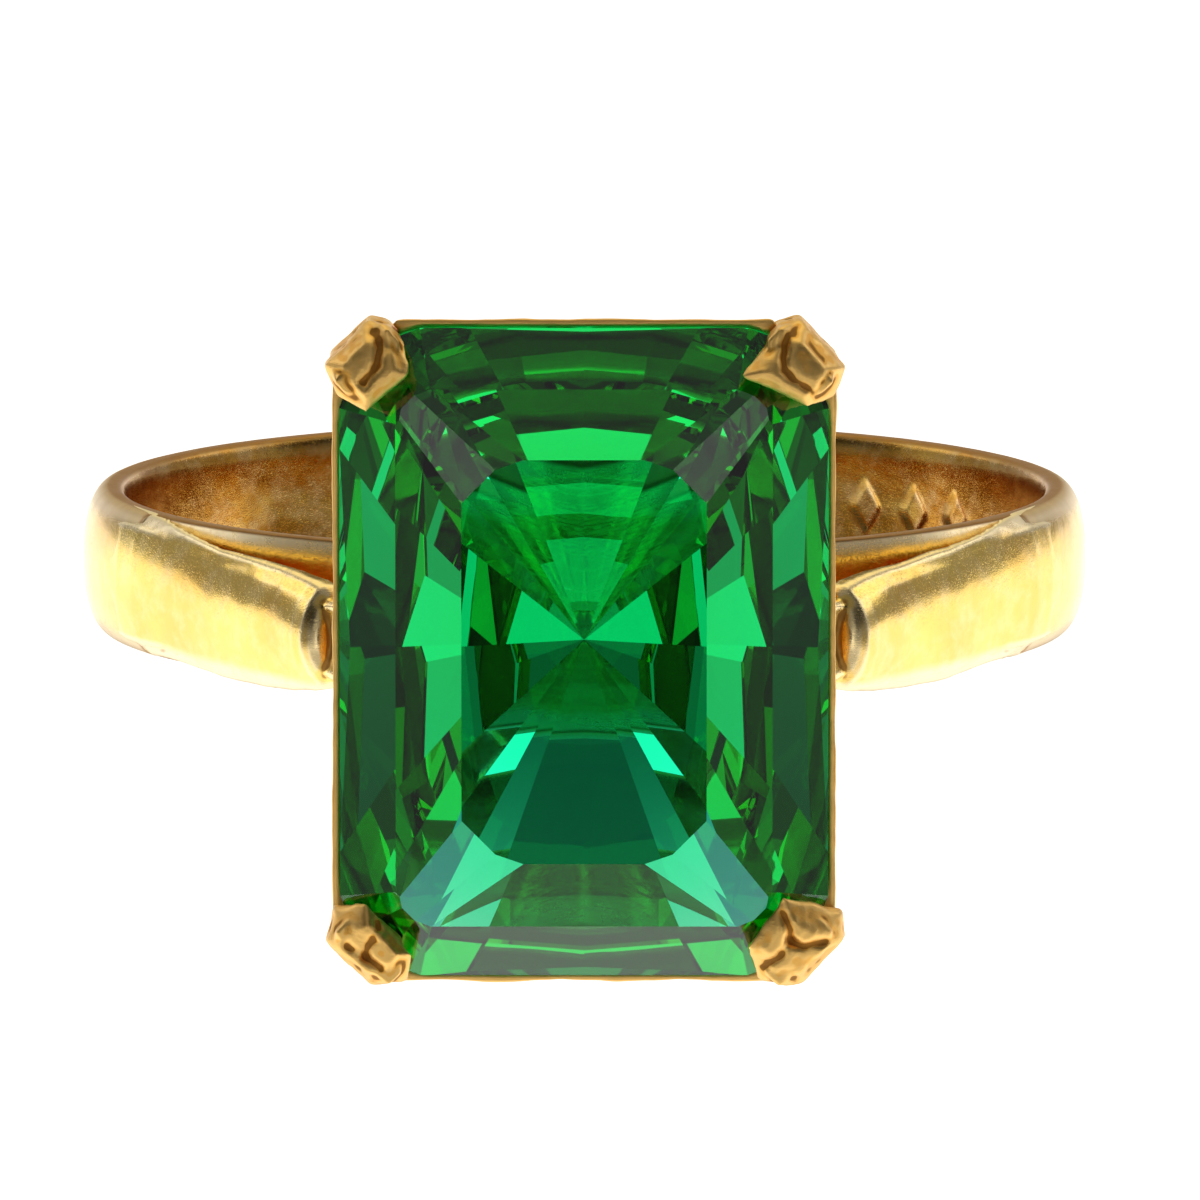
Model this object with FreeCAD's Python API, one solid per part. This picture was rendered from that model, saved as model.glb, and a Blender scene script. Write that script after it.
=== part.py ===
"""A claw-set cocktail ring: a half-round hoop whose shoulders lift off a thin finger strip and carry a
four-claw head with a rectangular, cut-cornered stone.

Row frame, millimetres: the origin is the centre of the finger hole, +Y is the hole's axis, and the stone
faces +Z. Every piece is its own solid in parts/NODE.step, and neighbours meet face to face, as soldered.
"""

import FreeCAD, Part
import math
import os

Vector = FreeCAD.Vector

# Hoop: a half-round band that thins to a flat strip where it passes under the head.
finger_hole_diameter = 17.3
band_width = 2.7
band_thickness = 0.85
band_side_height = 0.42
band_hole_edge_radius = 0.30
strip_thickness = 0.45

# Stone: girdle outline, depths above and below the girdle, facet slopes.
stone_width = 8.9
stone_length = 11.9
stone_corner_radius = 1.8
girdle_thickness = 0.20
crown_height = 1.30
crown_slope = 38.0
crown_star_rise = 0.80
table_width = 4.45
table_length = 7.40
table_corner_radius = 1.35
pavilion_depth = 3.70
pavilion_belt_slope = 58.0
pavilion_belt_outset = 1.10
pavilion_fullness = 3.0
culet_flat = 0.03
culet_clearance = 0.10

# Seat frame: the tapered gallery that the stone's pavilion rests in.
seat_overhang = 0.16
seat_wall = 0.50
seat_height = 1.60
seat_taper = 0.45
seat_lip = 0.05
seat_corner = 1.20

# Base frame: the lower gallery, saddled on the strip and arched to clear the finger.
base_half_width = 3.35
base_half_length = 4.35
base_corner = 0.70
base_bar = 0.70
base_rise = 0.45
base_saddle_depth = 0.66
base_finger_gap = 0.25

# Claws: flat posts at the four corners, bent over the crown.
claw_foot_width = 1.00
claw_foot_thickness = 0.70
claw_foot_inset = 0.22
claw_width = 1.40
claw_outset = 0.48
claw_reach = 0.60
claw_back_width = 1.00
claw_tip_width = 0.55
claw_cover = 0.36
claw_neck_drop = 0.60
claw_seat_bite = 0.12

# Shoulders: half-round arms that leave the hoop on a tangent and end in a rounded nose beside the stone,
# with a lower neck that narrows to a waist and spreads again where it meets the head.
shoulder_nose_gap = 0.60
shoulder_nose_drop = 2.60
shoulder_nose_thickness = 0.95
shoulder_nose_radius = 0.42
shoulder_nose_plan_radius = 0.72
shoulder_nose_half_width = 1.00
shoulder_half_width = 1.27
shoulder_tail_length = 0.85
shoulder_thickening = 2.5
shoulder_sink = 0.03
neck_step = 0.40
neck_length = 1.75
neck_waist_half_width = 0.76
neck_root_half_width = 1.15

# Punch mark inside the hoop: a row of plain blank lozenges.
punch_count = 3
punch_width = 0.80
punch_height = 1.10
punch_depth = 0.05
punch_pitch = 1.25
punch_centre_angle = 133.0

# Sizes that follow from those above.
hole_radius = finger_hole_diameter / 2
band_radius = hole_radius + band_thickness
strip_radius = hole_radius + strip_thickness
culet_z = strip_radius + culet_clearance
girdle_bottom_z = culet_z + pavilion_depth
girdle_top_z = girdle_bottom_z + girdle_thickness
table_z = girdle_top_z + crown_height
half_width = stone_width / 2
half_length = stone_length / 2
seat_top_z = girdle_bottom_z + seat_lip
seat_bottom_z = seat_top_z - seat_height
base_top_z = strip_radius + base_rise
base_bottom_z = strip_radius - base_saddle_depth

BIG = 4 * max(stone_length, finger_hole_diameter)
HOLE_AXIS = Vector(0, 1, 0)
ORIGIN = Vector(0, 0, 0)


def polar(radius, angle):
    """The X and Z of a point at that radius from the hole's axis, angle in degrees from the top."""
    return radius * math.sin(math.radians(angle)), radius * math.cos(math.radians(angle))


def arc_through(a, b, c):
    return Part.Arc(a, b, c).toShape()


def polygon_face(points):
    return Part.Face(Part.makePolygon(points + [points[0]]))


def ring_sector(inner, outer, start_angle, end_angle):
    """A solid wedge of the band's surroundings, from one radius to another, wider than the band."""
    corners = [(-BIG, inner), (BIG, inner), (BIG, outer), (-BIG, outer)]
    face = polygon_face([Vector(0, y, z) for y, z in corners])
    face.rotate(ORIGIN, HOLE_AXIS, start_angle)
    return face.revolve(ORIGIN, HOLE_AXIS, end_angle - start_angle)


# ---- hoop ------------------------------------------------------------------------------------------


def band_section():
    """The half-round section at the top of the band: rounded hole edges, short sides and a domed back."""
    w, e = band_width / 2, band_hole_edge_radius
    side_z = hole_radius + band_side_height
    bend = e * (1 - math.sqrt(0.5))
    left_in, right_in = Vector(0, -w + e, hole_radius), Vector(0, w - e, hole_radius)
    edges = [
        Part.makeLine(left_in, right_in),
        arc_through(right_in, Vector(0, w - bend, hole_radius + bend), Vector(0, w, hole_radius + e)),
        Part.makeLine(Vector(0, w, hole_radius + e), Vector(0, w, side_z)),
        arc_through(Vector(0, w, side_z), Vector(0, 0, band_radius), Vector(0, -w, side_z)),
        Part.makeLine(Vector(0, -w, side_z), Vector(0, -w, hole_radius + e)),
        arc_through(Vector(0, -w, hole_radius + e), Vector(0, -w + bend, hole_radius + bend), left_in),
    ]
    return Part.Face(Part.Wire(edges))


def punch_marks():
    """Blank lozenge punches, sunk a little way into the hole's wall at the back of the hoop."""
    marks = []
    pitch_angle = math.degrees(punch_pitch / hole_radius)
    for i in range(punch_count):
        angle = punch_centre_angle + (i - (punch_count - 1) / 2) * pitch_angle
        x, y, z = punch_width / 2, punch_height / 2, hole_radius - 0.5
        outline = [Vector(-x, 0, z), Vector(0, -y, z), Vector(x, 0, z), Vector(0, y, z)]
        mark = polygon_face(outline).extrude(Vector(0, 0, 0.5 + punch_depth))
        mark.rotate(ORIGIN, HOLE_AXIS, angle)
        marks.append(mark)
    return marks


def make_hoop(tail_angle):
    band = band_section().revolve(ORIGIN, HOLE_AXIS, 360)
    hoop = band.cut(ring_sector(strip_radius, BIG, -tail_angle, tail_angle))
    return hoop.cut(punch_marks())


# ---- stone -----------------------------------------------------------------------------------------


def rounded_support(angle):
    """How far the girdle outline reaches in that direction, in degrees from +X."""
    c, s = abs(math.cos(math.radians(angle))), abs(math.sin(math.radians(angle)))
    r = stone_corner_radius
    return (half_width - r) * c + (half_length - r) * s + r


def table_support(angle):
    """How far the table's outline reaches in that direction."""
    c, s = abs(math.cos(math.radians(angle))), abs(math.sin(math.radians(angle)))
    r = table_corner_radius
    return (table_width / 2 - r) * c + (table_length / 2 - r) * s + r


def pavilion_support(angle):
    """The reach of the brilliant-cut cone at the girdle: a superellipse, fuller than an oval."""
    c, s = abs(math.cos(math.radians(angle))), abs(math.sin(math.radians(angle)))
    q = pavilion_fullness / (pavilion_fullness - 1)
    return pavilion_belt_outset * ((half_width * c) ** q + (half_length * s) ** q) ** (1 / q)


def outside_facet(angle, slope, reach, z):
    """The waste on the outer side of one facet, which lies at that reach from the axis at height z."""
    a, t = math.radians(angle), math.radians(slope)
    normal = Vector(math.sin(t) * math.cos(a), math.sin(t) * math.sin(a), math.cos(t))
    waste = Part.makeBox(BIG, BIG, BIG, Vector(-BIG / 2, -BIG / 2, 0))
    waste.Placement = FreeCAD.Placement(
        Vector(reach * math.cos(a), reach * math.sin(a), z), FreeCAD.Rotation(Vector(0, 0, 1), normal)
    )
    return waste


def all_round(angles):
    """Facet directions of one quarter, repeated in all four."""
    copies = {round(turn, 6) % 360 for a in angles for turn in (a, 180 - a, 180 + a, -a)}
    return sorted(copies)


def make_stone():
    belt = all_round([0, 21, 45, 69, 90])
    stars = all_round([0, 45, 71, 90])
    mains = all_round([9, 27, 45, 63, 81])
    height = table_z - culet_z - culet_flat
    stone = Part.makeBox(
        stone_width, stone_length, height, Vector(-half_width, -half_length, culet_z + culet_flat)
    )
    for angle in belt:
        reach = rounded_support(angle)
        if angle % 90:
            stone = stone.cut(outside_facet(angle, 90, reach, girdle_top_z))
        stone = stone.cut(outside_facet(angle, crown_slope, reach, girdle_top_z))
        stone = stone.cut(outside_facet(angle, 180 - pavilion_belt_slope, reach, girdle_bottom_z))
    for angle in stars:
        break_reach = rounded_support(angle) - crown_star_rise / math.tan(math.radians(crown_slope))
        run = break_reach - table_support(angle)
        slope = math.degrees(math.atan2(crown_height - crown_star_rise, run))
        stone = stone.cut(outside_facet(angle, slope, table_support(angle), table_z))
    for angle in mains:
        reach = pavilion_support(angle)
        slope = math.degrees(math.atan2(pavilion_depth, reach))
        stone = stone.cut(outside_facet(angle, 180 - slope, reach, girdle_bottom_z))
    return stone


# ---- frames under the stone ------------------------------------------------------------------------


def cut_corner_wire(half_x, half_y, corner, z):
    """A rectangle with 45 degree corners, as a closed wire at height z."""
    quarter = [(half_x, half_y - corner), (half_x - corner, half_y)]
    points = quarter + [(-x, y) for x, y in reversed(quarter)]
    points += [(-x, -y) for x, y in quarter] + [(x, -y) for x, y in reversed(quarter)]
    return Part.makePolygon([Vector(x, y, z) for x, y in points + points[:1]])


def tapered_block(outlines):
    """A solid block between two outlines (half_x, half_y, corner, z), the lower first."""
    return Part.makeLoft([cut_corner_wire(*outline) for outline in outlines], True, True)


def hollow(outlines, wall):
    """The block between two outlines, opened in the middle to leave walls of even thickness."""
    slimmer = wall * (2 - math.sqrt(2))
    inner = [(x - wall, y - wall, c - slimmer, z) for x, y, c, z in outlines]
    return tapered_block(outlines).cut(tapered_block(inner))


def seat_outlines():
    top_x, top_y = half_width + seat_overhang, half_length + seat_overhang
    bottom = (top_x - seat_taper, top_y - seat_taper, seat_corner, seat_bottom_z)
    return bottom, (top_x, top_y, seat_corner, seat_top_z)


def base_outlines():
    outline = (base_half_width, base_half_length, base_corner)
    return (*outline, base_bottom_z), (*outline, base_top_z)


def finger_room():
    """The space kept clear under the head, a little wider than the finger hole."""
    return Part.makeCylinder(hole_radius + base_finger_gap, BIG, Vector(0, -BIG / 2, 0), HOLE_AXIS)


# ---- claws -----------------------------------------------------------------------------------------


def make_claw():
    """The claw at the +X +Y corner. Along the diagonal, u runs outwards from the stone's corner facet."""
    reach = rounded_support(45)
    turn = math.sqrt(0.5)
    span = (half_length - half_width) / math.sqrt(2)

    def at(u, v, z):
        """A point u outside the corner facet and v along it, from the facet's middle."""
        along = v + span
        return Vector((reach + u) * turn - along * turn, (reach + u) * turn + along * turn, z)

    foot_corner = Vector(base_half_width - base_corner / 2, base_half_length - base_corner / 2, base_bottom_z)
    outward = Vector(turn, turn, 0)
    sideways = Vector(-turn, turn, 0)
    foot_centre = foot_corner - outward * (claw_foot_inset - claw_foot_thickness / 2)

    def foot_point(u, v):
        return foot_centre + outward * u + sideways * v

    bevel = 0.3
    tf, wf = claw_foot_thickness / 2, claw_foot_width / 2
    foot = [
        foot_point(-tf, -wf), foot_point(tf * bevel, -wf), foot_point(tf, -wf * 0.6),
        foot_point(tf, wf * 0.6), foot_point(tf * bevel, wf), foot_point(-tf, wf),
    ]
    neck_z = girdle_bottom_z - claw_neck_drop
    wide, back = claw_width / 2, claw_back_width / 2
    waist = [(-claw_seat_bite, -wide), (claw_outset * bevel, -wide), (claw_outset, -back)]
    waist += [(u, -v) for u, v in reversed(waist)]

    def ring(z):
        return [at(u, v, z) for u, v in waist]

    def closed(points):
        return Part.makePolygon(points + points[:1])

    post = Part.makeLoft([closed(foot), closed(ring(neck_z))], True, True)
    collar = Part.makeLoft([closed(ring(neck_z)), closed(ring(girdle_top_z))], True, True)

    slope = math.tan(math.radians(crown_slope))
    tip_z = girdle_top_z + claw_reach * slope + claw_cover * 0.75
    crest_z = girdle_top_z + claw_reach * slope * 0.55 + claw_cover * 1.35
    tip = claw_tip_width / 2
    plan = [
        (claw_outset, -back), (claw_outset * bevel, -wide), (-claw_reach * 0.25, -wide),
        (-claw_reach, -tip), (-claw_reach, tip), (-claw_reach * 0.25, wide),
        (claw_outset * bevel, wide), (claw_outset, back),
    ]
    prism = polygon_face([at(u, v, neck_z) for u, v in plan]).extrude(Vector(0, 0, BIG / 4))
    profile = [
        (claw_outset + 1, girdle_bottom_z), (claw_outset, girdle_top_z + 0.1),
        (claw_outset * 0.35, crest_z), (-claw_reach * 0.4, crest_z + 0.05), (-claw_reach, tip_z),
        (-claw_reach - 0.2, girdle_bottom_z),
    ]
    roof = polygon_face([at(u, -claw_width, z) for u, z in profile]).extrude(sideways * 2 * claw_width)
    head = prism.common(roof)
    return post.fuse([collar, head]).removeSplitter()


# ---- shoulders -------------------------------------------------------------------------------------


class ShoulderLine:
    """The shoulder's back in side view: round the band, then straight on a tangent to the nose."""

    def __init__(self):
        nose_x = half_width + shoulder_nose_gap
        nose_z = girdle_bottom_z - shoulder_nose_drop
        distance = math.hypot(nose_x, nose_z)
        self.length = math.sqrt(distance**2 - band_radius**2)
        nose_angle = math.degrees(math.atan2(nose_x, nose_z))
        self.lift_angle = nose_angle + math.degrees(math.acos(band_radius / distance))
        self.tail_angle = self.lift_angle + math.degrees(shoulder_tail_length / band_radius)

    def outward(self, s):
        """The direction out of the back, s along it from where it leaves the band."""
        angle = self.lift_angle + max(0, -s) / band_radius * 180 / math.pi
        x, z = polar(1, angle)
        return Vector(x, 0, z)

    def back(self, s):
        x, z = polar(1, self.lift_angle)
        along = Vector(-z, 0, x) * max(0, s)
        return self.outward(s) * band_radius + along

    def point(self, s, depth, y=0):
        """A point that far below the back, y along the hole's axis."""
        return self.back(s) - self.outward(s) * depth + Vector(0, y, 0)


def shoulder_section(line, s, top, bottom, width, side):
    """A half-round section square to the back, between two depths, with a flat underside."""
    right, left = line.point(s, bottom, width), line.point(s, bottom, -width)
    right_side, left_side = line.point(s, bottom - side, width), line.point(s, bottom - side, -width)
    return Part.Wire([
        Part.makeLine(left, right),
        Part.makeLine(right, right_side),
        arc_through(right_side, line.point(s, top), left_side),
        Part.makeLine(left_side, left),
    ])


def shoulder_arm(line):
    """The half-round arm, thickening and narrowing towards its rounded nose."""
    tail = band_thickness - strip_thickness + shoulder_sink
    growth = shoulder_nose_thickness - tail
    straight = line.length - shoulder_nose_plan_radius
    stations = [-shoulder_tail_length, -shoulder_tail_length / 2, 0]
    stations += [straight * share for share in (0.2, 0.4, 0.6, 0.8, 0.92)]
    sections = []
    for s in stations:
        share = max(0, s) / straight
        bottom = tail + growth * share**shoulder_thickening
        width = shoulder_half_width - (shoulder_half_width - shoulder_nose_half_width) * share**3
        side = shoulder_sink + 0.45 * (bottom - tail)
        sections.append(shoulder_section(line, s, 0, bottom, width, side))
    for turn in (0, 25, 45, 62, 76, 86):
        out, back = math.sin(math.radians(turn)), 1 - math.cos(math.radians(turn))
        s = straight + shoulder_nose_plan_radius * out
        width = shoulder_nose_half_width - shoulder_nose_plan_radius * back
        top = shoulder_nose_radius * back
        side = (shoulder_sink + 0.45 * growth) * (1 - 0.4 * back)
        sections.append(shoulder_section(line, s, top, shoulder_nose_thickness, width, side))
    return Part.makeLoft(sections, True, False)


def shoulder_neck(line):
    """The neck: a flat plate set lower than the arm's back, waisted at the nose."""
    inside = line.length - shoulder_nose_plan_radius
    waist, root = neck_waist_half_width, neck_root_half_width
    halfway = (waist + root) / 2
    side = [
        (inside, waist - 0.14), (line.length - 0.3, waist - 0.04),
        (line.length + neck_length * 0.2, waist), (line.length + neck_length * 0.65, halfway),
        (line.length + neck_length, root),
    ]
    bottom = shoulder_nose_thickness - 0.05
    curves = []
    for sign in (1, -1):
        curve = Part.BSplineCurve()
        curve.interpolate([line.point(s, bottom, sign * y) for s, y in side])
        curves.append(curve.toShape())
    (first, root_y), (last, tip_y) = side[0], side[-1]
    ends = [
        Part.makeLine(line.point(s, bottom, y), line.point(s, bottom, -y))
        for s, y in ((first, root_y), (last, tip_y))
    ]
    outline = Part.Wire([curves[0], ends[1], curves[1], ends[0]])
    return Part.Face(outline).extrude(line.outward(0) * (bottom - neck_step))


def make_shoulder(line):
    return shoulder_arm(line).fuse(shoulder_neck(line))


# ---- assembly --------------------------------------------------------------------------------------


def mirrored(shape, flip_x, flip_y):
    if flip_x:
        shape = shape.mirror(ORIGIN, Vector(1, 0, 0))
    if flip_y:
        shape = shape.mirror(ORIGIN, Vector(0, 1, 0))
    return shape


def build():
    line = ShoulderLine()
    hoop = make_hoop(line.tail_angle)
    stone = make_stone()
    room = finger_room()
    claw = make_claw().cut([stone, hoop, room])
    claws = {
        f"claw_{side}_{end}": mirrored(claw, side == "left", end == "front")
        for side in ("left", "right")
        for end in ("back", "front")
    }
    all_claws = list(claws.values())
    seat_frame = hollow(seat_outlines(), seat_wall).cut([stone] + all_claws)
    base_frame = hollow(base_outlines(), base_bar).cut([hoop, room] + all_claws)
    shoulder = make_shoulder(line).cut([hoop, tapered_block(seat_outlines())])
    parts = {
        "hoop": hoop,
        "shoulder_left": mirrored(shoulder, True, False),
        "shoulder_right": shoulder,
        "base_frame": base_frame,
        "seat_frame": seat_frame,
        "stone": stone,
    }
    parts.update(claws)
    return parts


def main():
    os.makedirs("parts", exist_ok=True)
    for name, shape in build().items():
        solids = shape.Solids
        if len(solids) == 1:
            shape = solids[0]
        shape.exportStep(f"parts/{name}.step")
        box = shape.BoundBox
        print(
            f"{name:18s} solids {len(solids)} faces {len(shape.Faces):3d} valid {shape.isValid()}"
            f" volume {shape.Volume:8.3f}  x {box.XMin:.2f}..{box.XMax:.2f}"
            f"  y {box.YMin:.2f}..{box.YMax:.2f}  z {box.ZMin:.2f}..{box.ZMax:.2f}"
        )


main()
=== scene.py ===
"""A claw-set cocktail ring: a high-carat gold hoop whose shoulders lift to an open head, where four claws hold
a green cut-cornered stone. Shapes are worked out in millimetres, and each finished piece is brought to metres."""

import itertools
import math

import bmesh
import bpy
import numpy as np
from mathutils import Matrix, Vector, noise


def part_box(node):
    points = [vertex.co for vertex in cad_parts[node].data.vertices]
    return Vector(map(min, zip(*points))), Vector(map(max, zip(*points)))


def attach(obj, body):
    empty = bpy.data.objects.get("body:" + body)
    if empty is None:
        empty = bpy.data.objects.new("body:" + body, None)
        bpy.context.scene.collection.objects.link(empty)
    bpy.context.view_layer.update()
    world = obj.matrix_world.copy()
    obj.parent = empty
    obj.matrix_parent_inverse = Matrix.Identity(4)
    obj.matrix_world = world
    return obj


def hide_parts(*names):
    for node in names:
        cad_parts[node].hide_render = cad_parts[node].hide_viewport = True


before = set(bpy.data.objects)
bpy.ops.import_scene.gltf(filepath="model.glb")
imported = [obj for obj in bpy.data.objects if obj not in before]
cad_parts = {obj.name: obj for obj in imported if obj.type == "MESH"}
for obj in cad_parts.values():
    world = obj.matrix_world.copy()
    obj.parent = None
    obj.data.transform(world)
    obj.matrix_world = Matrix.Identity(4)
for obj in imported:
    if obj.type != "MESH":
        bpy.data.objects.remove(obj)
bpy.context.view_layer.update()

MM = 0.001
for cad_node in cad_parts.values():
    cad_node.data.materials.clear()

# ---- Stone ------------------------------------------------------------------------------------------------
# A transparent green stone, 9 by 12 mm, cut as a rectangle with rounded corners: a stepped crown in two rows,
# and a pavilion of long facets that fan out from the culet. It is ground and polished flat, facet by facet.

stone_low, stone_high = (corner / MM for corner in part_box("stone"))
half_width, half_length = stone_high.x, stone_high.y
stone_corner_radius = 1.8
girdle_thickness = 0.20
crown_height = 1.30
crown_slope = 38.0
crown_star_rise = 0.80
table_half_width, table_half_length, table_corner_radius = 2.225, 3.70, 1.35
pavilion_depth = 3.70
pavilion_belt_slope = 58.0
pavilion_belt_outset = 1.10
pavilion_fullness = 3.0
table_z = stone_high.z
girdle_top_z = table_z - crown_height
girdle_bottom_z = girdle_top_z - girdle_thickness
crown_angles = (0, 21, 45, 69, 90)
star_angles = (0, 45, 71, 90)
pavilion_angles = (9, 27, 45, 63, 81)


def outline_reach(angle, half_x, half_y, radius):
    """How far a rounded rectangle reaches in a direction given in degrees from +X."""
    c, s = abs(math.cos(math.radians(angle))), abs(math.sin(math.radians(angle)))
    return (half_x - radius) * c + (half_y - radius) * s + radius


def fan_reach(angle):
    """How far the pavilion's fan of facets reaches at the girdle: a superellipse, fuller than an oval."""
    c, s = abs(math.cos(math.radians(angle))), abs(math.sin(math.radians(angle)))
    q = pavilion_fullness / (pavilion_fullness - 1)
    return pavilion_belt_outset * ((half_width * c) ** q + (half_length * s) ** q) ** (1 / q)


def all_round(angles):
    """The angles of one quarter, mirrored into all four."""
    return sorted({round(turn, 6) % 360 for a in angles for turn in (a, 180 - a, 180 + a, -a)})


def facet(angle, slope, reach, z):
    """A facet's outward normal and its distance from the origin."""
    a, t = math.radians(angle), math.radians(slope)
    normal = np.array([math.sin(t) * math.cos(a), math.sin(t) * math.sin(a), math.cos(t)])
    return normal, float(normal @ [reach * math.cos(a), reach * math.sin(a), z])


def stone_facets():
    """Every facet of the stone: table, girdle, the crown's two rows, the belt and the pavilion's fan."""
    facets = [(np.array([0.0, 0.0, 1.0]), table_z)]
    step_run = crown_star_rise / math.tan(math.radians(crown_slope))
    for angle in all_round(crown_angles):
        reach = outline_reach(angle, half_width, half_length, stone_corner_radius)
        facets.append(facet(angle, 90, reach, girdle_top_z))
        facets.append(facet(angle, crown_slope, reach, girdle_top_z))
        facets.append(facet(angle, 180 - pavilion_belt_slope, reach, girdle_bottom_z))
    for angle in all_round(star_angles):
        edge = outline_reach(angle, table_half_width, table_half_length, table_corner_radius)
        run = outline_reach(angle, half_width, half_length, stone_corner_radius) - step_run - edge
        slope = math.degrees(math.atan2(crown_height - crown_star_rise, run))
        facets.append(facet(angle, slope, edge, table_z))
    for angle in all_round(pavilion_angles):
        reach = fan_reach(angle)
        slope = 180 - math.degrees(math.atan2(pavilion_depth, reach))
        facets.append(facet(angle, slope, reach, girdle_bottom_z))
    return facets


def stone_corners(facets):
    """The points where three facets meet and no other facet cuts them off."""
    normals = np.array([normal for normal, _ in facets])
    distances = np.array([distance for _, distance in facets])
    trios = np.array(list(itertools.combinations(range(len(facets)), 3)))
    corners = normals[trios]
    solvable = np.abs(np.linalg.det(corners)) > 1e-5
    points = np.linalg.solve(corners[solvable], distances[trios[solvable]][..., None])[..., 0]
    return points[(points @ normals.T <= distances + 1e-6).all(axis=1)]


def cut_stone(facets):
    """The stone as a closed mesh with one flat face for each facet."""
    block = bmesh.new()
    for point in np.unique(stone_corners(facets).round(5), axis=0):
        block.verts.new(point)
    bmesh.ops.convex_hull(block, input=block.verts[:])
    bmesh.ops.remove_doubles(block, verts=block.verts[:], dist=2e-4)
    bmesh.ops.dissolve_limit(block, angle_limit=math.radians(0.05), verts=block.verts[:], edges=block.edges[:])
    bmesh.ops.recalc_face_normals(block, faces=block.faces[:])
    return block


class Wire:
    """One value in a node tree. Arithmetic on it adds Math nodes to the tree."""

    def __init__(self, tree, socket):
        self.tree, self.socket = tree, socket

    def math(self, operation, *others):
        return self.tree.add("ShaderNodeMath", {"operation": operation}, [self, *others]).out()

    def __rsub__(self, other):
        return self.tree.add("ShaderNodeMath", {"operation": "SUBTRACT"}, [other, self]).out()

    def __add__(self, other): return self.math("ADD", other)
    def __radd__(self, other): return self.math("ADD", other)
    def __sub__(self, other): return self.math("SUBTRACT", other)
    def __mul__(self, other): return self.math("MULTIPLY", other)
    def __rmul__(self, other): return self.math("MULTIPLY", other)
    def __truediv__(self, other): return self.math("DIVIDE", other)
    def __pow__(self, other): return self.math("POWER", other)

    def ramp(self, low, high):
        """Rises smoothly from 0 to 1 as the value goes from low to high."""
        smooth = {"interpolation_type": "SMOOTHSTEP"}
        return self.tree.add("ShaderNodeMapRange", smooth, [self, low, high]).out()


class Made:
    """A node that was added, with its outputs by name or number."""

    def __init__(self, tree, node):
        self.tree, self.node = tree, node

    def out(self, key=0):
        return Wire(self.tree, self.node.outputs[key])


class Tree:
    """Adds nodes to one node tree."""

    def __init__(self, nodes, links):
        self.nodes, self.links = nodes, links

    def add(self, kind, settings=None, inputs=()):
        """A node of that type, its settings first, then its sockets by place or by name."""
        node = self.nodes.new(kind)
        for key, value in (settings or {}).items():
            setattr(node, key, value)
        pairs = inputs.items() if isinstance(inputs, dict) else enumerate(inputs)
        for key, value in pairs:
            socket = node.inputs[key]
            if isinstance(value, Wire):
                self.links.new(value.socket, socket)
            else:
                socket.default_value = (*value, 1) if socket.type == "RGBA" else value
        return Made(self, node)

    def mix(self, factor, a, b):
        """Two colours mixed: a where the factor is 0, b where it is 1."""
        made = self.add("ShaderNodeMix", {"data_type": "RGBA"})
        for place, value in ((0, factor), (6, a), (7, b)):
            if isinstance(value, Wire):
                self.links.new(value.socket, made.node.inputs[place])
            else:
                made.node.inputs[place].default_value = value if place == 0 else (*value, 1)
        return made.out(2)

    def noise(self, where, scale, detail=2.0, roughness=0.5):
        return self.add("ShaderNodeTexNoise", None, {
            "Vector": where, "Scale": scale, "Detail": detail, "Roughness": roughness,
        }).out(0)

    def stretched(self, where, stretch, turn=(0, 0, 0)):
        return self.add("ShaderNodeMapping", None, {"Vector": where, "Rotation": turn, "Scale": stretch}).out()


def new_material(name):
    material = bpy.data.materials.new(name)
    material.use_nodes = True
    material.node_tree.nodes.clear()
    tree = Tree(material.node_tree.nodes, material.node_tree.links)
    where = tree.add("ShaderNodeTexCoord").out("Object")
    return material, tree, where


def polished_stone():
    """Clear green all through, with a polish that is a little tired along its facets."""
    material, tree, where = new_material("green_stone")
    haze = tree.noise(where, 900, 3, 0.6).ramp(0.45, 0.75)
    shader = tree.add("ShaderNodeBsdfPrincipled", None, {
        "Base Color": (1, 1, 1), "Transmission Weight": 1.0, "IOR": 1.76, "Roughness": haze * 0.004,
    })
    volume = tree.add("ShaderNodeVolumeAbsorption", None, {"Color": (0.0, 0.975, 0.858), "Density": 1200.0})
    tree.add("ShaderNodeOutputMaterial", None, {"Surface": shader.out(), "Volume": volume.out()})
    return material


def finish_piece(mesh, name, nodes, material, smooth=True):
    """Brings a mesh from millimetres to metres as a piece that stands for its CAD nodes."""
    mesh.transform(Matrix.Scale(MM, 4))
    for polygon in mesh.polygons:
        polygon.use_smooth = smooth
    mesh.materials.clear()
    mesh.materials.append(material)
    piece = bpy.data.objects.new(name, mesh)
    bpy.context.scene.collection.objects.link(piece)
    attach(piece, "root")
    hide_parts(*nodes)


facets = stone_facets()
stone_block = cut_stone(facets)
stone_mesh = bpy.data.meshes.new("green_stone")
stone_block.to_mesh(stone_mesh)
stone_block.free()
finish_piece(stone_mesh, "green_stone", ["stone"], polished_stone(), smooth=False)

# ---- Seat frame --------------------------------------------------------------------------------------------
# The rail that the girdle rests on: a gold gallery in one piece, open in the middle, with cut corners. It was
# cast rough, filed by hand, and is held between the four claws.

head_voxel = 0.055
# The head's colours: a dark brown that is painted shade for its hollows, its plain gold, and a paler gold for its
# edges that is partly wear and partly a painted highlight.
head_colours = ((0.26, 0.10, 0.012), (0.90, 0.47, 0.085), (0.96, 0.62, 0.20))


def cad_copy(node_name):
    """A CAD node's own shape in millimetres, its split edges joined."""
    shape = bmesh.new()
    shape.from_mesh(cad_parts[node_name].data)
    bmesh.ops.scale(shape, vec=(1 / MM, 1 / MM, 1 / MM), verts=shape.verts)
    bmesh.ops.remove_doubles(shape, verts=shape.verts, dist=1e-4)
    return shape


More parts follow.
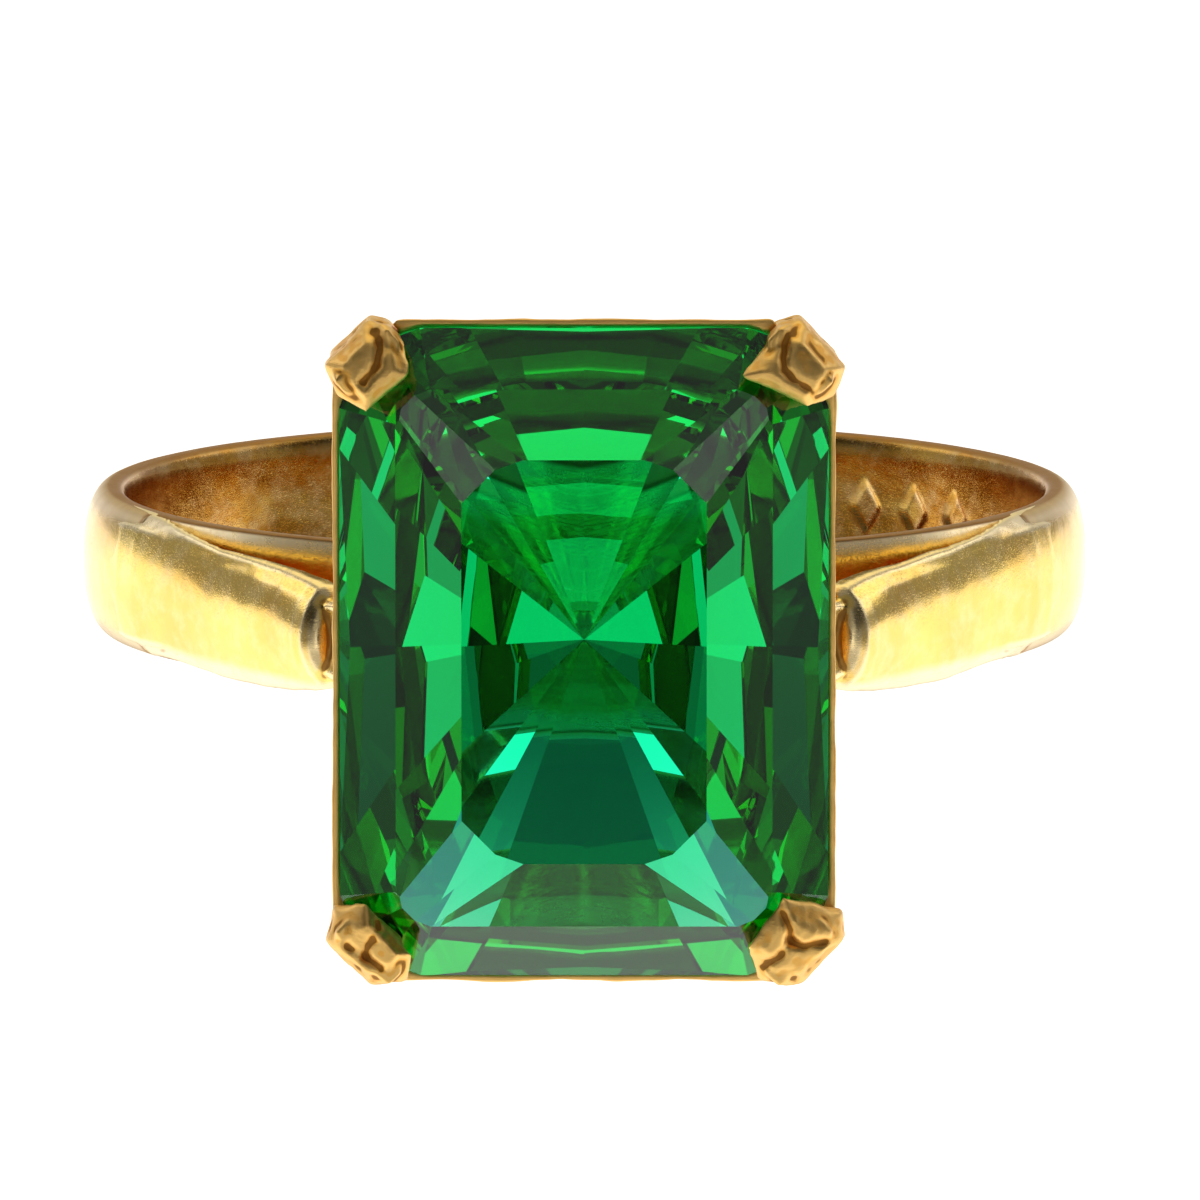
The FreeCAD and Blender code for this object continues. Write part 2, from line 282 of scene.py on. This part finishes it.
def kneaded(shape, voxel, rubs):
    """The shape as one skin in an even net of points, its edges rubbed round."""
    mesh = bpy.data.meshes.new("lump")
    shape.to_mesh(mesh)
    shape.free()
    lump = bpy.data.objects.new("lump", mesh)
    bpy.context.scene.collection.objects.link(lump)
    skin = lump.modifiers.new("skin", "REMESH")
    skin.mode = "VOXEL"
    skin.voxel_size = voxel
    rub = lump.modifiers.new("rub", "SMOOTH")
    rub.factor = 0.5
    rub.iterations = rubs
    result = bpy.data.meshes.new_from_object(lump.evaluated_get(bpy.context.evaluated_depsgraph_get()))
    bpy.data.objects.remove(lump)
    return result


def mesh_points(mesh):
    points = np.empty(len(mesh.vertices) * 3)
    mesh.vertices.foreach_get("co", points)
    return points.reshape(-1, 3)


def mesh_normals(mesh):
    normals = np.empty(len(mesh.vertices) * 3, np.float32)
    mesh.vertex_normals.foreach_get("vector", normals)
    return normals.reshape(-1, 3)


def set_points(mesh, points):
    mesh.vertices.foreach_set("co", points.ravel())
    mesh.update()


def clear_of_stone(mesh, gap=0.006):
    """Metal that would lie inside the stone is pressed out to the nearest facet, as when it was set."""
    points = mesh_points(mesh)
    normals = np.array([normal for normal, _ in facets])
    beyond = points @ normals.T - np.array([distance for _, distance in facets])
    nearest = beyond.argmax(axis=1)
    short = gap - beyond.max(axis=1)
    points += normals[nearest] * np.maximum(short, 0)[:, None]
    set_points(mesh, points)


def worked_by_hand(mesh, size, depth, seed, share=1.0):
    """Uneven by a few hundredths of a millimetre, over patches of that size."""
    normals = mesh_normals(mesh)
    away = Vector((seed * 7.3, seed * 3.1, seed * 5.7))
    rise = np.array([noise.noise(vertex.co / size + away) for vertex in mesh.vertices])
    set_points(mesh, mesh_points(mesh) + normals * (share * depth * rise)[:, None])


def note_hollows(mesh, spread=5):
    """Keeps, for each point, how hollow (above 0) or edged (below 0) the metal is there."""
    count = len(mesh.vertices)
    points, normals = mesh_points(mesh), mesh_normals(mesh)
    ends = np.empty(len(mesh.edges) * 2, np.int32)
    mesh.edges.foreach_get("vertices", ends)
    a, b = ends.reshape(-1, 2).T
    neighbours = np.maximum(np.bincount(ends, minlength=count), 1)

    def around(values):
        near_a = np.bincount(a, weights=values[b], minlength=count)
        return (near_a + np.bincount(b, weights=values[a], minlength=count)) / neighbours

    pull = np.stack([around(points[:, i]) for i in range(3)], axis=1) - points
    length = ((points[a] - points[b]) ** 2).sum(axis=1).mean()
    bend = np.clip((pull * normals).sum(axis=1) * 4 / length, -8, 8)
    for _ in range(spread):
        bend = 0.4 * bend + 0.6 * around(bend)
    hollow = mesh.attributes.new("hollow", "FLOAT", "POINT")
    hollow.data.foreach_set("value", bend.astype(np.float32))


def scratches(tree, where, turn, length, width, share):
    """Fine straight scratches in one direction: 1 on a scratch, 0 off it."""
    laid = tree.stretched(where, (1 / length, 1 / width, 1 / width), (0, 0, math.radians(turn)))
    return tree.noise(laid, 1.0, 2.0, 0.55).ramp(1 - share, 1 - share * 0.55)


def head_gold():
    """The head's gold: darker and redder than the band, grained by file and burr, dull and painted with shade in
    its hollows.
    """
    material, tree, where = new_material("gold_head")
    deep, plain, edge_wear_and_highlight = head_colours
    hollow = tree.add("ShaderNodeAttribute", {"attribute_name": "hollow"}).out("Fac")
    edge, crevice_shade = hollow.ramp(-0.4, -2.0), hollow.ramp(0.3, 2.4)
    cloud = tree.noise(where, 1300, 4, 0.6).ramp(0.35, 0.68)
    grain = tree.noise(where, 16000, 3, 0.7)
    filed = scratches(tree, where, 35, 0.0009, 0.00004, 0.5)
    colour = tree.mix(cloud, plain, (0.92, 0.54, 0.14))
    # Edges go a paler gold: partly wear, partly a painted highlight.
    colour = tree.mix(edge * 0.7, colour, edge_wear_and_highlight)
    # Painted shade: the colour goes dark brown in the hollows.
    colour = tree.mix(crevice_shade * 0.7, colour, deep)
    dull = 0.38 + cloud * 0.10 + grain * 0.12 + crevice_shade * 0.25 - edge * 0.06
    height = grain * 0.35 + filed * 0.4 + tree.noise(where, 4200, 3, 0.6) * 1.6
    bump = tree.add("ShaderNodeBump", None, {"Strength": 0.35, "Distance": 0.000012, "Height": height})
    shader = tree.add("ShaderNodeBsdfPrincipled", None, {
        "Base Color": colour, "Metallic": 1.0, "Roughness": dull, "Normal": bump.out(),
    })
    tree.add("ShaderNodeOutputMaterial", None, {"Surface": shader.out()})
    return material


gold_of_head = head_gold()
seat_mesh = kneaded(cad_copy("seat_frame"), head_voxel, rubs=4)
worked_by_hand(seat_mesh, size=1.1, depth=0.035, seed=3)
worked_by_hand(seat_mesh, size=0.35, depth=0.012, seed=4)
clear_of_stone(seat_mesh)
note_hollows(seat_mesh)
finish_piece(seat_mesh, "seat_rail", ["seat_frame"], gold_of_head)

# ---- Base frame --------------------------------------------------------------------------------------------
# The lower frame of the head, bent to sit astride the hoop and soldered to it. The claws stand on its corners,
# and it is arched underneath so that the finger passes freely.

base_mesh = kneaded(cad_copy("base_frame"), head_voxel, rubs=5)
worked_by_hand(base_mesh, size=1.0, depth=0.03, seed=5)
note_hollows(base_mesh)
finish_piece(base_mesh, "base_rail", ["base_frame"], gold_of_head)

# ---- Claws -------------------------------------------------------------------------------------------------
# Four stout claws at the stone's cut corners, cast with the frames and pressed over the crown. Their heads
# were closed and trimmed by hand, so no two are alike: each has its own outline and its own graver cuts.

claw_voxel, claw_rubs = 0.035, 26
head_size = 1.08
head_reach, head_limit = 0.5, 0.91
head_root, head_rim, head_crest, crest_share = 0.60, 0.30, 0.76, 0.58
cut_half_width, cut_depth = 0.10, 0.12

# For each claw: which way it faces, the corners of its head and the graver's cuts in it. Both are given from
# the middle of the stone's corner facet, first outwards and then sideways.
claws = {
    "claw_left_back": (
        (-1, 1), [(0.46, 0.68), (0.44, -0.60), (-0.08, -0.86), (-0.62, -0.66), (-0.68, 0.38), (-0.22, 0.74)],
        [[(0.24, 0.50), (0.02, 0.36), (-0.14, 0.10), (-0.18, -0.30)]],
    ),
    "claw_right_back": (
        (1, 1), [(0.46, 0.50), (0.20, 0.76), (0.42, -0.66), (-0.06, -0.88), (-0.50, -0.68), (-0.92, 0.60)],
        [[(0.16, 0.50), (-0.16, 0.28), (-0.27, 0.12), (-0.30, -0.14), (-0.25, -0.42)]],
    ),
    "claw_left_front": (
        (-1, -1), [(0.46, -0.62), (-0.10, -0.94), (-0.62, -0.66), (-0.56, 0.58), (-0.06, 0.86), (0.44, 0.52)],
        [[(0.20, -0.34), (0.12, 0.02), (0.04, 0.34)], [(-0.54, -0.28), (-0.26, -0.12), (0.08, -0.04)]],
    ),
    "claw_right_front": (
        (1, -1), [(0.46, 0.50), (0.50, -0.70), (0.06, -0.96), (-0.98, -0.54), (-0.78, 0.56), (-0.10, 0.90)],
        [
            [(-0.88, -0.42), (-0.48, -0.22), (-0.28, -0.04), (-0.22, 0.30), (-0.28, 0.58)],
            [(-0.28, -0.04), (-0.05, -0.18), (0.20, -0.46)],
        ],
    ),
}


class Corner:
    """Places at one corner of the stone, given as (outwards, sideways, height over the girdle)."""

    def __init__(self, facing):
        self.facing = np.array([*facing, 1.0])
        self.reach = outline_reach(45, half_width, half_length, stone_corner_radius)
        self.span = (half_length - half_width) * math.sqrt(0.5)

    def point(self, u, v, z):
        out, along = self.reach + u, v + self.span
        flat = np.array([out - along, out + along]) * math.sqrt(0.5)
        return np.array([*flat, girdle_top_z + z]) * self.facing

    def local(self, points):
        x, y, z = (points * self.facing).T
        return (x + y) * math.sqrt(0.5) - self.reach, (y - x) * math.sqrt(0.5) - self.span, z - girdle_top_z


def crown_rise(u):
    """How far the crown has risen over the girdle, that far in from the stone's edge."""
    return max(0, -u) * math.tan(math.radians(crown_slope))


def claw_head(corner, outline):
    """A blunt pyramid over the girdle, wider than its post, with a rounded crest."""
    outline = [(min(u * head_size, head_reach), v * head_size) for u, v in outline]
    outline = [(u, min(v, head_limit - u)) for u, v in outline]
    points = [corner.point(u * 0.9, v * 0.8, -head_root) for u, v in outline if u > 0]
    points += [corner.point(u, v, 0) for u, v in outline if u > -0.2]
    points += [corner.point(u * 0.95, v * 0.95, head_rim + crown_rise(u)) for u, v in outline]
    for u, v in outline:
        rise = head_crest + crown_rise(u) * crest_share
        points.append(corner.point(u * crest_share, v * crest_share, rise))
    return points


def add_hull(shape, points):
    """Adds the tightest skin round the points as a lump of its own."""
    lump = bmesh.new()
    for point in points:
        lump.verts.new(point)
    bmesh.ops.convex_hull(lump, input=lump.verts[:])
    bmesh.ops.delete(lump, geom=[v for v in lump.verts if not v.link_faces], context="VERTS")
    mesh = bpy.data.meshes.new("hull")
    lump.to_mesh(mesh)
    lump.free()
    shape.from_mesh(mesh)
    bpy.data.meshes.remove(mesh)


def cut_along(u, v, path):
    """How deep a graver's cut along the path is at each point, from 0 to 1."""
    deepest = np.zeros_like(u)
    for (u0, v0), (u1, v1) in zip(path, path[1:]):
        du, dv = u1 - u0, v1 - v0
        share = np.clip(((u - u0) * du + (v - v0) * dv) / (du * du + dv * dv), 0, 1)
        away = np.hypot(u - u0 - share * du, v - v0 - share * dv)
        deepest = np.maximum(deepest, np.exp(-((away / cut_half_width) ** 2)))
    return deepest


def trim_head(mesh, corner, cuts):
    """Graver cuts across the top of the head, deeper in some places than in others."""
    points = mesh_points(mesh)
    u, v, z = corner.local(points)
    on_top = np.clip((z - 0.15) / 0.25, 0, 1)
    uneven = np.array([0.8 + 0.8 * noise.noise(Vector(point) / 0.3) for point in points])
    depth = sum(cut_along(u, v, path) for path in cuts) * cut_depth * on_top * uneven
    points[:, 2] -= depth
    set_points(mesh, points)


for seed, (claw_name, (facing, outline, cuts)) in enumerate(claws.items()):
    corner = Corner(facing)
    shape = cad_copy(claw_name)
    add_hull(shape, claw_head(corner, outline))
    claw_mesh = kneaded(shape, claw_voxel, claw_rubs)
    worked_by_hand(claw_mesh, size=0.55, depth=0.05, seed=seed + 10)
    trim_head(claw_mesh, corner, cuts)
    worked_by_hand(claw_mesh, size=0.2, depth=0.012, seed=seed + 20)
    clear_of_stone(claw_mesh)
    note_hollows(claw_mesh, spread=6)
    prong_name = claw_name.replace("claw", "prong")
    finish_piece(claw_mesh, prong_name, [claw_name], gold_of_head)

# ---- Hoop --------------------------------------------------------------------------------------------------
# The band: drawn gold wire, flat inside with eased edges and domed outside, bent round and soldered at the
# foot. Under the head its back is filed down to a thin strip, and three blank punches are struck inside.

hoop_sizes = {
    "Hole Radius": 8.65, "Side Radius": 9.00, "Back Radius": 9.50, "Strip Radius": 9.10, "Half Width": 1.35,
    "Strip Half Angle": 63.0, "Unevenness": 0.02, "Punch Angle": 133.0, "Punch Pitch": 8.28,
    "Punch Half Width": 0.40, "Punch Half Height": 0.55, "Punch Depth": 0.05,
}
steps_round, steps_section = 960, 96
dome_power, bore_power = 2.2, 5.0
step_half_angle, step_blend = 0.6, 0.05


def hoop_tree():
    """A net of points wrapped round the section and round the finger hole."""
    group = bpy.data.node_groups.new("rolled_band", "GeometryNodeTree")
    group.is_modifier = True
    for name, size in hoop_sizes.items():
        group.interface.new_socket(name, in_out="INPUT", socket_type="NodeSocketFloat").default_value = size
    group.interface.new_socket("Gold", in_out="INPUT", socket_type="NodeSocketMaterial")
    group.interface.new_socket("Geometry", in_out="OUTPUT", socket_type="NodeSocketGeometry")
    tree = Tree(group.nodes, group.links)
    given = tree.add("NodeGroupInput")
    hole, side, back, strip, width, strip_angle, uneven = (given.out(i) for i in range(7))
    punch_angle, punch_pitch, punch_x, punch_y, punch_depth = (given.out(i) for i in range(7, 12))

    net = tree.add("GeometryNodeMeshGrid", None, {
        "Size X": 1.0, "Size Y": 1.0, "Vertices X": steps_round + 1, "Vertices Y": steps_section + 1,
    })
    share = tree.add("ShaderNodeSeparateXYZ", None, [net.out("UV Map")])
    turn = (share.out(0) - 0.5) * 360.0
    radians = turn * (math.pi / 180)
    lap = share.out(1) * (2 * math.pi)
    across, rise = lap.math("COSINE"), lap.math("SINE")
    reach = across.math("ABSOLUTE")
    outside = (1 - reach ** dome_power) ** (1 / dome_power)
    inside = (1 - reach ** bore_power) ** (1 / bore_power)
    is_back = rise.math("GREATER_THAN", 0.0)

    sine, cosine = radians.math("SINE"), radians.math("COSINE")
    place = tree.add("ShaderNodeCombineXYZ", None, [sine * side, across, cosine * side]).out()
    wave = tree.noise(place, 0.45) * 0.6 + tree.noise(place, 1.7) * 0.4
    thick = 1 - wave * uneven * 1.5
    radius_back = side + (back - side) * outside * thick
    radius_hole = side - (side - hole) * inside * (1 - wave * uneven)
    away = turn.math("ABSOLUTE")
    limit = strip + (back - strip) * (away - strip_angle).ramp(-step_half_angle, step_half_angle)
    radius_back = radius_back.math("SMOOTH_MIN", limit, step_blend)

    struck = None
    for step in (-1, 0, 1):
        along = ((turn - punch_angle - punch_pitch * step) * (math.pi / 180) * hole).math("ABSOLUTE")
        lozenge = (along / punch_x + (across * width).math("ABSOLUTE") / punch_y).ramp(1.0, 0.8)
        struck = lozenge if struck is None else struck + lozenge
    radius_hole = radius_hole + struck * punch_depth

    radius = radius_hole + (radius_back - radius_hole) * is_back
    y = across * width * (1 - wave * uneven * 0.6)
    wrapped = tree.add("ShaderNodeCombineXYZ", None, [sine * radius, y, cosine * radius]).out()
    placed = tree.add("GeometryNodeSetPosition", None, {"Geometry": net.out("Mesh"), "Position": wrapped})
    joined = tree.add("GeometryNodeMergeByDistance", None, {"Geometry": placed.out(), "Distance": 0.002})
    real = tree.add("GeometryNodeRealizeInstances", None, {"Geometry": joined.out()})
    dressed = tree.add("GeometryNodeSetMaterial", None, {"Geometry": real.out(), "Material": given.out("Gold")})
    tree.add("NodeGroupOutput", None, [dressed.out()])
    return group


def band_gold():
    """The band's gold: bright and yellow, polished long ago and rubbed since, with fine scratches all over."""
    material, tree, where = new_material("gold_band")
    hollow = tree.add("ShaderNodeAttribute", {"attribute_name": "hollow"}).out("Fac")
    edge, crevice_shade = hollow.ramp(-0.6, -3.0), hollow.ramp(0.3, 2.5)
    cloud = tree.noise(where, 420, 4, 0.6).ramp(0.35, 0.68)
    rubbed = tree.noise(where, 2100, 4, 0.65).ramp(0.4, 0.7)
    grain = tree.noise(where, 14000, 3, 0.7)
    fine = scratches(tree, where, 12, 0.0016, 0.00003, 0.48)
    fine = fine + scratches(tree, where, -41, 0.0011, 0.00003, 0.44)
    marks = scratches(tree, where, 68, 0.0008, 0.00006, 0.36)
    place = tree.add("ShaderNodeSeparateXYZ", None, [where])
    x, y, z = (place.out(i) for i in range(3))
    inside = (x * x + z * z).math("SQRT").ramp(8.90 * MM, 8.80 * MM)
    side = y.math("ABSOLUTE").ramp(0.95 * MM, 1.2 * MM) * (1 - inside)
    colour = tree.mix(cloud, (0.98, 0.69, 0.17), (0.94, 0.58, 0.13))
    # The band's flat sides are painted a pale cream, patchy with the rubbed noise: a painted highlight.
    colour = tree.mix(side * (0.6 + rubbed * 0.3), colour, (1.0, 0.87, 0.64))
    # The inside of the band is painted darker and browner, more so in blotches.
    inner_blotches = tree.noise(tree.stretched(where, (1, 2.6, 1)), 520, 5, 0.65).ramp(0.36, 0.66)
    colour = tree.mix(inside * (0.45 + inner_blotches * 0.55), colour, (0.55, 0.25, 0.03))
    colour = tree.mix(rubbed * 0.35, colour, (1.0, 0.78, 0.40))
    # Edges go a pale gold: partly wear, partly a painted highlight.
    colour = tree.mix(edge * 0.6, colour, (1.0, 0.84, 0.52))
    # Painted shade: the colour goes dark brown in the hollows.
    colour = tree.mix(crevice_shade * 0.9, colour, (0.36, 0.16, 0.03))
    dull = 0.11 + rubbed * 0.07 + fine * 0.04 + grain * 0.05
    dull = dull + crevice_shade * 0.3 + edge * 0.08 + side * 0.12
    height = grain * 0.12 + fine * 0.5 - marks * 1.1 + tree.noise(where, 1500, 2, 0.5) * 5.0
    bump = tree.add("ShaderNodeBump", None, {"Strength": 0.3, "Distance": 0.000008, "Height": height})
    shader = tree.add("ShaderNodeBsdfPrincipled", None, {
        "Base Color": colour, "Metallic": 1.0, "Roughness": dull, "Normal": bump.out(),
    })
    tree.add("ShaderNodeOutputMaterial", None, {"Surface": shader.out()})
    return material


gold_of_band = band_gold()
hoop_group = hoop_tree()
band_seed = bpy.data.objects.new("band_seed", bpy.data.meshes.new("band_seed"))
bpy.context.scene.collection.objects.link(band_seed)
wrap = band_seed.modifiers.new("wrap", "NODES")
wrap.node_group = hoop_group
for item in hoop_group.interface.items_tree:
    if item.in_out == "INPUT" and item.name in hoop_sizes:
        wrap[item.identifier] = hoop_sizes[item.name]
    elif item.in_out == "INPUT":
        wrap[item.identifier] = gold_of_band
evaluated = band_seed.evaluated_get(bpy.context.evaluated_depsgraph_get())
hoop_mesh = bpy.data.meshes.new_from_object(evaluated)
band_seed.modifiers.clear()
bpy.data.objects.remove(band_seed)
note_hollows(hoop_mesh)
finish_piece(hoop_mesh, "band", ["hoop"], gold_of_band)

# ---- Shoulders ---------------------------------------------------------------------------------------------
# Each shoulder is half-round gold soldered to the band, lifting away from the thin strip along a tangent. It
# thickens to a blunt nose, then steps down to a flat waisted neck that is soldered to the seat rail.

band_back_radius = hoop_sizes["Back Radius"]
nose_gap, nose_fall = 0.60, 2.60
nose_x, nose_z = half_width + nose_gap, girdle_bottom_z - nose_fall
line_length = math.sqrt(nose_x ** 2 + nose_z ** 2 - band_back_radius ** 2)
lift_angle = math.atan2(nose_x, nose_z) + math.atan2(line_length, band_back_radius)
line_start_x = band_back_radius * math.sin(lift_angle)
bevel_run = 0.30
swing_to_front, swing_start, swing_run = 0.22, -0.2, 3.0
nose_round, nose_drop = 0.72, 0.42
neck_top, neck_bottom, neck_lip = 0.40, 0.90, 0.10
pit_depth, pit_size = 0.12, (0.34, 0.62, 0.60)
shoulder_voxel = 0.042

# Along the shoulder: distance from where it leaves the band, how far its back is sunk, half width, drop to the
# bevel, depth at the widest place and depth of its underside.
shoulder_stations = [
    (-3.4, 0.10, 1.31, 0.16, 0.50, 0.70), (-2.6, 0.035, 1.335, 0.16, 0.50, 0.70),
    (-1.9, 0.008, 1.345, 0.16, 0.50, 0.68), (-1.2, -0.006, 1.365, 0.16, 0.50, 0.66),
    (-0.5, -0.008, 1.375, 0.15, 0.48, 0.62), (0.0, 0.0, 1.35, 0.15, 0.46, 0.58),
    (0.6, 0.0, 1.30, 0.15, 0.38, 0.46), (1.2, 0.0, 1.27, 0.15, 0.33, 0.44),
    (2.5, 0.0, 1.23, 0.16, 0.36, 0.50), (4.0, 0.0, 1.19, 0.18, 0.42, 0.66),
    (5.0, 0.0, 1.13, 0.20, 0.48, 0.84), (line_length - nose_round, 0.0, 1.04, 0.22, 0.52, 0.95),
]


def along_shoulder(s, y, depth):
    """A point of the right shoulder: round the band before it lifts, then straight."""
    angle = lift_angle + max(0, -s) / band_back_radius
    out = np.array([math.sin(angle), 0, math.cos(angle)])
    ahead = np.array([-math.cos(angle), 0, math.sin(angle)])
    swing = -swing_to_front * min(1, max(0, (s - swing_start) / swing_run)) ** 1.5
    return out * (band_back_radius - depth) + ahead * max(0, s) + np.array([0, y + swing, 0])


def half_round(sink, width, drop, widest, bottom):
    """Half of a section from the middle of the back round to the middle of the underside: (y, depth)."""
    flat = max(0.05, width - bevel_run)
    back = [(flat * i / 8, sink + drop * (i / 8) ** 2.2) for i in range(9)]
    sides = [(width - 0.06, widest + sink - 0.10), (width, widest + sink), (width - 0.02, bottom - 0.14)]
    return back + sides + [(width - 0.12, bottom), (width * 0.5, bottom), (0.0, bottom)]


def all_of_ring(section, s):
    """A ring of points round the shoulder, from half of its section."""
    whole = section + [(-y, depth) for y, depth in section[-2:0:-1]]
    return [along_shoulder(s, y, depth) for y, depth in whole]


def loft(shape, rings):
    """Joins rings of points into a closed lump."""
    laid = [[shape.verts.new(point) for point in ring] for ring in rings]
    for ring, following in zip(laid, laid[1:]):
        for i in range(len(ring)):
            j = (i + 1) % len(ring)
            shape.faces.new([ring[i], ring[j], following[j], following[i]])
    shape.faces.new(laid[0][::-1])
    shape.faces.new(laid[-1])


def shoulder_rings():
    """The half-round part, from its tail in the band to the end of its rounded nose."""
    stations = list(shoulder_stations)
    start, _, width, drop, widest, bottom = stations[-1]
    for degrees in (25, 45, 62, 76, 86):
        out, back = math.sin(math.radians(degrees)), 1 - math.cos(math.radians(degrees))
        narrower, flatter = width - nose_round * back, drop * (1 - back * 0.6)
        stations.append((start + nose_round * out, nose_drop * back, narrower, flatter, widest, bottom))
    return [all_of_ring(half_round(*sizes), s) for s, *sizes in stations]


def neck_rings():
    """The flat neck, from inside the nose to the seat rail: half its width at places ahead of the nose's end."""
    rings = []
    widths = {-nose_round: 0.62, -0.3: 0.72, 0.35: 0.76, 0.75: 0.88, 1.1: 1.02, 1.45: 1.16}
    for ahead, half in widths.items():
        rings.append(all_of_ring([
            (0, neck_top + 0.05), (half - 0.25, neck_top + 0.03), (half - neck_lip, neck_top),
            (half, neck_top + neck_lip), (half, neck_bottom - neck_lip), (half - neck_lip, neck_bottom),
            (0, neck_bottom),
        ], line_length + ahead))
    return rings


def press_pit(mesh, flip):
    """A burr's pit between the nose and the seat, deepest against the nose."""
    points = mesh_points(mesh)
    centre = along_shoulder(line_length + 0.42, 0, neck_top)
    away = np.abs(points * [flip, 1, 1] - centre) / pit_size
    points[:, 2] -= pit_depth * np.exp(-(away ** 2).sum(axis=1) ** 1.5)
    set_points(mesh, points)


for seed, (side_name, flip) in enumerate((("left", -1), ("right", 1))):
    shape = bmesh.new()
    loft(shape, shoulder_rings())
    loft(shape, neck_rings())
    bmesh.ops.scale(shape, vec=(flip, 1, 1), verts=shape.verts)
    bmesh.ops.recalc_face_normals(shape, faces=shape.faces[:])
    shoulder_mesh = kneaded(shape, shoulder_voxel, rubs=3)
    free = np.clip((line_start_x + 0.1 - np.abs(mesh_points(shoulder_mesh)[:, 0])) / 1.2, 0, 1)
    worked_by_hand(shoulder_mesh, size=1.9, depth=0.05, seed=seed + 30, share=free)
    worked_by_hand(shoulder_mesh, size=0.6, depth=0.010, seed=seed + 40, share=free)
    press_pit(shoulder_mesh, flip)
    clear_of_stone(shoulder_mesh)
    note_hollows(shoulder_mesh)
    arm_name = "shoulder_arm_" + side_name
    finish_piece(shoulder_mesh, arm_name, ["shoulder_" + side_name], gold_of_band)

# ---- Floor, light and camera -------------------------------------------------------------------------------
# A plain white sheet under the ring, soft light all round that is weaker overhead and behind, and a long lens
# that looks down on the stone from a little behind it.

hoop_low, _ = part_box("hoop")
floor_mesh = bpy.data.meshes.new("floor")
floor_mesh.from_pydata([(-1, -1, 0), (1, -1, 0), (1, 1, 0), (-1, 1, 0)], [], [(0, 1, 2, 3)])
floor_mesh.transform(Matrix.Translation((0, 0, hoop_low.z)))
floor = bpy.data.objects.new("floor", floor_mesh)
bpy.context.scene.collection.objects.link(floor)
floor_material, tree, where = new_material("white_sheet")
shader = tree.add("ShaderNodeBsdfPrincipled", None, {
    "Base Color": (0.9, 0.9, 0.9), "Roughness": 0.9, "Specular IOR Level": 0.0,
    "Emission Color": (1, 1, 1), "Emission Strength": 0.9,
})
tree.add("ShaderNodeOutputMaterial", None, {"Surface": shader.out()})
floor_mesh.materials.append(floor_material)
floor.visible_glossy = False
floor.visible_transmission = False

scene = bpy.context.scene
scene.view_settings.view_transform = "Standard"
world = bpy.data.worlds.new("studio")
scene.world = world
world.use_nodes = True
world.node_tree.nodes.clear()
tree = Tree(world.node_tree.nodes, world.node_tree.links)
direction = tree.add("ShaderNodeSeparateXYZ", None, [tree.add("ShaderNodeTexCoord").out("Generated")])
x, y, z = (direction.out(i) for i in range(3))

# Each name is a part of the surroundings, 1 well inside it and 0 outside it.
upward = z.ramp(-0.25, 0.1)
beside = (x * x).ramp(0.05, 0.4)
behind = y.ramp(0.0, 0.45) * upward
overhead = z.ramp(0.92, 0.975)
flank = beside * y.ramp(-0.5, -0.15) * upward
shade = beside * y.ramp(-0.02, 0.06) * (1 - y.ramp(0.3, 0.42)) * (1 - upward)
beyond = y.ramp(0.38, 0.46)
under_band = y.ramp(-0.3, -0.2) * (1 - y.ramp(0.2, 0.26))
under = z.ramp(-0.76, -0.86) * (1 - (x * x).ramp(0.04, 0.14)) * (1 - under_band)
far_floor = (1 - (x * x).ramp(0.16, 0.28)) * y.ramp(0.2, 0.26) * (1 - upward)
corner_width = (x * x).ramp(0.14, 0.24) * (1 - (x * x).ramp(0.36, 0.44))
corner = corner_width * y.ramp(0.28, 0.36) * (1 - upward)
brow = y.ramp(-0.3, -0.5) * z.ramp(-0.05, 0.5)
warmth = (1 - (x * x).ramp(0.12, 0.24)) * y.ramp(0.16, 0.22) * (1 - upward)

full_light = 1.45
lower_light = full_light * (1 - shade * 0.8) * (1 - under * (1 - beyond * 0.6) * 0.82)
lower_light = lower_light * (1 - far_floor * (1 - beyond * 0.6) * 0.6) * (1 - corner * 0.75)
upper_light = (1 - behind * 0.85) * (1 - overhead * 0.985) * (1 - flank * 0.85) * (1 - brow * 0.65)
tint = tree.mix(warmth, (1, 1, 1), (1.0, 0.92, 0.6))
background = tree.add("ShaderNodeBackground", None, [tint, lower_light * upper_light])
tree.add("ShaderNodeOutputWorld", None, [background.out()])

tilt = math.radians(8.0)
camera_distance, view_width, film_width = 335.0, 22.7273, 36.0
aim_right, aim_down = 0.29, 0.87
right = Vector((1, 0, 0))
up = Vector((0, math.cos(tilt), -math.sin(tilt)))
back = Vector((0, math.sin(tilt), math.cos(tilt)))
camera_data = bpy.data.cameras.new("camera")
camera_data.sensor_width = film_width
camera_data.lens = camera_distance * film_width / view_width
camera_data.clip_start = 0.01
camera_data.clip_end = 10
camera = bpy.data.objects.new("camera", camera_data)
scene.collection.objects.link(camera)
camera.location = (back * camera_distance + right * aim_right - up * aim_down) * MM
camera.rotation_euler = Matrix((right, up, back)).transposed().to_euler()
scene.camera = camera

scene.cycles.max_bounces = 24
scene.cycles.glossy_bounces = 16
scene.cycles.transmission_bounces = 24
